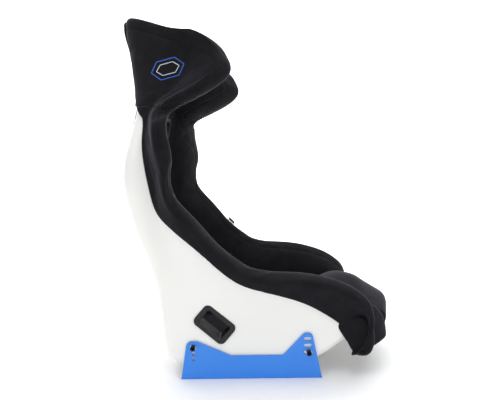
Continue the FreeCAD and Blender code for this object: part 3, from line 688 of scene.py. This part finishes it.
def front_gusset(name, side):
    """The padded end of a bolster beside the lip.

    Its outline is a closed cubic B-spline. Each ring is that outline scaled about its middle by a
    power of the sine of an angle, and the angle's cosine sets the ring's Y.
    """
    corners = np.array(GUSSET, float)
    count, rings = 96, 15
    at = np.linspace(0, len(corners), count, endpoint=False)
    i, f = at.astype(int), (at % 1)[:, None]
    a, b, c, d = (corners[(i + k) % len(corners)] for k in (-1, 0, 1, 2))
    outline = (a * (1 - f) ** 3 + b * (3 * f ** 3 - 6 * f ** 2 + 4)
               + c * (-3 * f ** 3 + 3 * f ** 2 + 3 * f + 1) + d * f ** 3) / 6
    angle = np.linspace(0.02, math.pi - 0.02, 2 * rings)[:, None]
    middle = outline.mean(0)
    flat = middle + (outline - middle) * np.sin(angle)[..., None] ** GUSSET_EDGE
    y = GUSSET_Y + GUSSET_THICK / 2 * np.cos(angle) + 0 * flat[..., 0]
    grid = np.stack((flat[..., 0], side * y, flat[..., 1]), -1) * MM
    faces = quads(2 * rings, count, closed=True)
    faces += [list(range(count)), list(range((2 * rings - 1) * count, 2 * rings * count))]
    return outward(new_object(name, grid, faces, np.stack((arc(grid, 0), arc(grid, 1)), -1)))


gussets = {label: front_gusset(f"front_gusset_{label}", side) for label, side in SIDES.items()}

for label, side in SIDES.items():
    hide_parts(*(f"{part}_bolster_{kind}_{label}"
                                   for part in ("thigh", "torso") for kind in ("foam", "cover")))
    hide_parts(f"head_wing_foam_{label}", f"head_wing_cover_{label}", "head_top_roll")
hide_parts("back_pad_foam", "back_pad_cover")
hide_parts("head_pad_foam", "head_pad_cover")
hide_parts("seat_cushion_foam", "seat_cushion_cover")
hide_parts("head_back_panel")


def slot_cutters(kind, side):
    """The throat's prism and the pocket over the inner flange, for one belt slot."""
    centre, normal, long_axis, depth = SLOTS[kind]
    flip = np.array((1, side, 1))
    place = (centre * flip, normal * flip, long_axis)
    throat = prism(*place, THROAT, 7.0, -CUT_DEPTH, 12.0)
    if kind == "crotch":
        return [throat]
    return [throat, prism(*place, FLANGE, 14.0, -CUT_DEPTH, 0.4 - depth)]


for label, side in SIDES.items():
    lap, shoulder = slot_cutters("lap", side), slot_cutters("shoulder", side)
    cut(bolsters[label], lap + shoulder)
    cut(back_pad, shoulder)
cut(seat_pad, slot_cutters("crotch", 1))
for piece in [o for o in bpy.data.objects if o.name.startswith("opening")]:
    bpy.data.objects.remove(piece)


# ---- embroidered motif ----------------------------------------------------------------------

MOTIF = (-188, 778)     # middle of the motif on a wing, X and Z
TILT = math.radians(14)


def hexagon(long, high, count):
    """Points round an elongated hexagon with its points ahead and behind."""
    corners = np.array(((1, 0), (0.55, 1), (-0.55, 1), (-1, 0), (-0.55, -1), (0.55, -1), (1, 0)))
    corners = corners * (long / 2, high / 2)
    run = np.concatenate(((0.0,), np.cumsum(np.linalg.norm(np.diff(corners, axis=0), axis=1))))
    at = np.linspace(0, run[-1], count, endpoint=False)
    return np.stack([np.interp(at, run, column) for column in corners.T], -1)


def satin_band(name, wing, side, long, high, width):
    """A raised band of satin stitch on a wing: a low dome carried round a hexagon."""
    count = 240
    line = hexagon(long, high, count)
    ahead = np.roll(line, -3, 0) - np.roll(line, 3, 0)
    ahead /= np.linalg.norm(ahead, axis=1, keepdims=True)
    aside = np.stack((ahead[:, 1], -ahead[:, 0]), -1)
    share = np.linspace(-1, 1, 9)
    height = np.concatenate((0.9 * np.sqrt(1 - share ** 2) - 0.15, (-0.6, -0.6)))
    share = np.concatenate((share, (0.5, -0.5)))
    flat = line[:, None] + aside[:, None] * (share * width / 2)[:, None]
    turn = np.array(((math.cos(TILT), math.sin(TILT)), (-math.sin(TILT), math.cos(TILT))))
    flat = (flat @ turn + MOTIF) * MM
    points = np.empty(flat.shape[:2] + (3,))
    for index in np.ndindex(flat.shape[:2]):
        x, z = flat[index]
        hit, place, normal, _ = wing.ray_cast(Vector((x, side * 0.5, z)), Vector((0, -side, 0)))
        points[index] = place + normal * float(height[index[1]] * MM)
    faces = quads(count, len(share), closed=True, looped=True)
    along = np.broadcast_to(np.arange(count)[:, None] / count, flat.shape[:2])
    across = np.broadcast_to(np.arange(len(share)) / len(share), flat.shape[:2])
    return outward(new_object(name, points, faces, np.stack((along, across), -1)))


bpy.context.view_layer.update()
threads = {
    label: (
        satin_band(f"motif_outer_{label}", wings[label], side, 84, 46, 2.6),
        satin_band(f"motif_inner_{label}", wings[label], side, 58, 27, 2.2),
    )
    for label, side in SIDES.items()
}


# ---- finishes -----------------------------------------------------------------------------

def linear(code):
    """Linear colour of an sRGB hex code."""
    parts = np.array([int(code[i:i + 2], 16) / 255 for i in (1, 3, 5)])
    parts = np.where(parts <= 0.04045, parts / 12.92, ((parts + 0.055) / 1.055) ** 2.4)
    return (*parts.tolist(), 1.0)


def add(tree, kind, inputs=(), **settings):
    """A shader node with its settings; each input is a value or another node's socket."""
    node = tree.nodes.new("ShaderNode" + kind)
    for key, value in settings.items():
        setattr(node, key, value)
    for key, value in dict(inputs).items():
        if isinstance(value, bpy.types.NodeSocket):
            tree.links.new(value, node.inputs[key])
        else:
            node.inputs[key].default_value = value
    return node


def finish_of(name, colour, roughness, **sockets):
    """A material with a principled surface; returns it with its node tree and surface node."""
    material = bpy.data.materials.new(name)
    material.use_nodes = True
    tree = material.node_tree
    surface = tree.nodes["Principled BSDF"]
    surface.inputs["Base Color"].default_value = linear(colour)
    surface.inputs["Roughness"].default_value = roughness
    for key, value in sockets.items():
        surface.inputs[key.replace("_", " ")].default_value = value
    return material, tree, surface


def grain(tree, surface, scale, strength, distance, detail=2.0):
    """Relief of a noise of the given scale per metre, as a bump on the surface."""
    place = add(tree, "TexCoord").outputs["Object"]
    noise = add(tree, "TexNoise", {"Vector": place, "Scale": scale, "Detail": detail})
    bump = add(tree, "Bump", {"Height": noise.outputs["Fac"], "Strength": strength, "Distance": distance})
    tree.links.new(bump.outputs["Normal"], surface.inputs["Normal"])
    return noise


def tinted(tree, surface, noise, dark, light):
    """Mixes two close shades of the base colour by a noise."""
    ramp = add(tree, "ValToRGB", {"Fac": noise.outputs["Fac"]})
    ramp.color_ramp.elements[0].position, ramp.color_ramp.elements[1].position = 0.35, 0.65
    ramp.color_ramp.elements[0].color, ramp.color_ramp.elements[1].color = linear(dark), linear(light)
    tree.links.new(ramp.outputs["Color"], surface.inputs["Base Color"])


# Knitted polyester velour: deep black, with a soft grey bloom at grazing light.
velour, tree, surface = finish_of(
    "black_velour_knit", "#131317", 0.85, Sheen_Weight=0.16, Sheen_Roughness=0.4,
    Sheen_Tint=linear("#c4c0d4"), Specular_IOR_Level=0.2)
grain(tree, surface, 900.0, 0.35, 0.0006, 4.0)
patches = add(tree, "TexNoise", {"Vector": add(tree, "TexCoord").outputs["Object"], "Scale": 26.0})
tinted(tree, surface, patches, "#101014", "#17171b")

# Gelcoat: glossy warm white with the faint wave of a moulded skin.
gelcoat, tree, surface = finish_of(
    "white_gelcoat", "#fbfaf5", 0.28, Coat_Weight=0.5, Coat_Roughness=0.08)
grain(tree, surface, 45.0, 0.05, 0.001)

# Powder coat on the brackets: even satin blue with a fine orange-peel skin.
powder, tree, surface = finish_of(
    "blue_powder_coat", "#2b8af2", 0.42, Coat_Weight=0.35, Coat_Roughness=0.2)
grain(tree, surface, 700.0, 0.12, 0.0003)

# Injection-moulded polypropylene: black, satin, with a fine spark-eroded grain.
plastic, tree, surface = finish_of("black_moulded_plastic", "#0b0b0c", 0.48)
grain(tree, surface, 1500.0, 0.15, 0.0002)

# Blackened steel of the bolts: dark, oily satin.
black_steel, tree, surface = finish_of("blackened_steel", "#1b1b1d", 0.36, Metallic=0.85)
grain(tree, surface, 1200.0, 0.06, 0.0002)

# Zinc plating: bright, slightly bluish metal with a soft blur.
zinc, tree, surface = finish_of("zinc_plating", "#c9ccd2", 0.26, Metallic=1.0)
grain(tree, surface, 800.0, 0.05, 0.0002)

# Bare steel of the threaded inserts.
steel, tree, surface = finish_of("bare_steel", "#8d8e90", 0.4, Metallic=1.0)
grain(tree, surface, 900.0, 0.08, 0.0002)

# Hook-and-loop tape: matt black pile, coarser than the velour.
hook_tape, tree, surface = finish_of("hook_and_loop_tape", "#0e0e10", 0.95, Sheen_Weight=0.3)
grain(tree, surface, 1100.0, 0.8, 0.0012, 3.0)

# Woven label: dark grey satin ribbon.
label_cloth, tree, surface = finish_of("woven_label", "#55555b", 0.7, Sheen_Weight=0.2)
grain(tree, surface, 1600.0, 0.3, 0.0003)


def thread(name, colour):
    """Satin stitch: shiny rayon threads laid side by side across the band."""
    material, tree, surface = finish_of(name, colour, 0.42, Sheen_Weight=0.3)
    place = add(tree, "TexCoord").outputs["UV"]
    waves = add(tree, "TexWave", {"Vector": place, "Scale": 95.0, "Distortion": 1.2, "Detail": 2.0})
    bump = add(tree, "Bump", {"Height": waves.outputs["Fac"], "Strength": 0.6, "Distance": 0.0004})
    tree.links.new(bump.outputs["Normal"], surface.inputs["Normal"])
    return material


blue_thread, white_thread = thread("blue_rayon_thread", "#1f62d8"), thread("white_rayon_thread", "#dfe6f4")


def wear(piece, material, body="seat"):
    """Gives a piece its finish and the body that it rides on."""
    piece.data.materials.clear()
    piece.data.materials.append(material)
    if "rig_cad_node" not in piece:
        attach(piece, body)


for label in SIDES:
    wear(bolsters[label], velour)
    wear(wings[label], velour)
    wear(gussets[label], velour)
    for piece, material in zip(threads[label], (blue_thread, white_thread)):
        wear(piece, material)
wear(back_pad, velour)
wear(head_pad, velour)
wear(back_panel, velour)
wear(seat_pad, velour, "seat_cushion")

FINISHES = (
    ("shell", gelcoat, "gelcoat"),
    ("bracket", powder, "blue_steel"),
    ("mount_bolts", black_steel, "black_bolt"),
    ("mount_washers", zinc, "zinc"),
    ("mount_spacers", zinc, "zinc"),
    ("threaded_inserts", steel, "insert_steel"),
    ("lap_bezel", plastic, "black_plastic"),
    ("shoulder_bezel", plastic, "black_plastic"),
    ("crotch_bezel", plastic, "black_plastic"),
    ("hook_strips", hook_tape, "hook_tape"),
    ("loop_strips", hook_tape, "hook_tape"),
    ("fabric_tag", label_cloth, "label_cloth"),
)
for name, node in frame["nodes"].items():
    for start, material, slot in FINISHES:
        if name.startswith(start):
            wear(node, material)


# ---- camera, floor and light ----------------------------------------------------------------

def studio_sweep():
    """A floor that curves up into a backdrop, carried sideways."""
    bend = np.linspace(0, math.pi / 2, 24)
    radius, far = 1.6, 2.6
    profile = np.concatenate((
        [(-9.0, 0.0)],
        np.stack((far + radius * np.sin(bend), radius * (1 - np.cos(bend))), -1),
        [(far + radius, 8.0)],
    ))
    x = np.linspace(-11, 11, 9)[:, None]
    grid = np.stack(np.broadcast_arrays(x, profile[:, 0], profile[:, 1]), -1)
    return new_object("studio_sweep", grid, quads(*grid.shape[:2]))


# Matt seamless paper: near white.
paper, tree, surface = finish_of("seamless_paper", "#fdfdfd", 0.9)
grain(tree, surface, 300.0, 0.02, 0.0005)
floor = studio_sweep()
floor.data.materials.append(paper)


def light(name, place, target, size, power):
    """A soft rectangular light that faces a target."""
    lamp = bpy.data.lights.new(name, "AREA")
    lamp.shape = "RECTANGLE"
    lamp.size, lamp.size_y = size
    lamp.energy = power
    rig = bpy.data.objects.new(name, lamp)
    bpy.context.scene.collection.objects.link(rig)
    rig.location = place
    rig.rotation_euler = (Vector(target) - Vector(place)).to_track_quat("-Z", "Y").to_euler()


MIDDLE = (0.0, 0.0, 0.45)
light("overhead", (0.1, -0.5, 2.9), MIDDLE, (3.0, 2.6), 48)
light("front_fill", (1.6, -2.3, 1.3), MIDDLE, (1.8, 1.8), 6)
light("rear_fill", (-1.9, -2.0, 1.5), MIDDLE, (1.8, 1.8), 7)
light("backdrop", (0.0, 1.2, 3.2), (0, 4.0, 1.0), (5.0, 1.5), 250)

world = bpy.data.worlds.new("studio")
bpy.context.scene.world = world
world.use_nodes = True
world.node_tree.nodes["Background"].inputs["Color"].default_value = linear("#f4f6fa")
world.node_tree.nodes["Background"].inputs["Strength"].default_value = 0.50

EYE, LENS = (0.036, -1.40, 0.554), 35.14
AZIMUTH, DOWN, ROLL = (math.radians(a) for a in (1.35, 4.92, -1.3))
forward = Vector((-math.sin(AZIMUTH) * math.cos(DOWN), math.cos(AZIMUTH) * math.cos(DOWN), -math.sin(DOWN)))
level = Vector((math.cos(AZIMUTH), math.sin(AZIMUTH), 0))
upright = level.cross(forward)
right = level * math.cos(ROLL) + upright * math.sin(ROLL)
upward = upright * math.cos(ROLL) - level * math.sin(ROLL)
camera = bpy.data.objects.new("camera", bpy.data.cameras.new("camera"))
camera.data.sensor_width = 36.0
camera.data.lens = LENS
camera.matrix_world = Matrix((
    (right.x, upward.x, -forward.x, EYE[0]),
    (right.y, upward.y, -forward.y, EYE[1]),
    (right.z, upward.z, -forward.z, EYE[2]),
    (0, 0, 0, 1),
))
bpy.context.scene.collection.objects.link(camera)
bpy.context.scene.camera = camera
bpy.context.scene.view_settings.view_transform = "Standard"
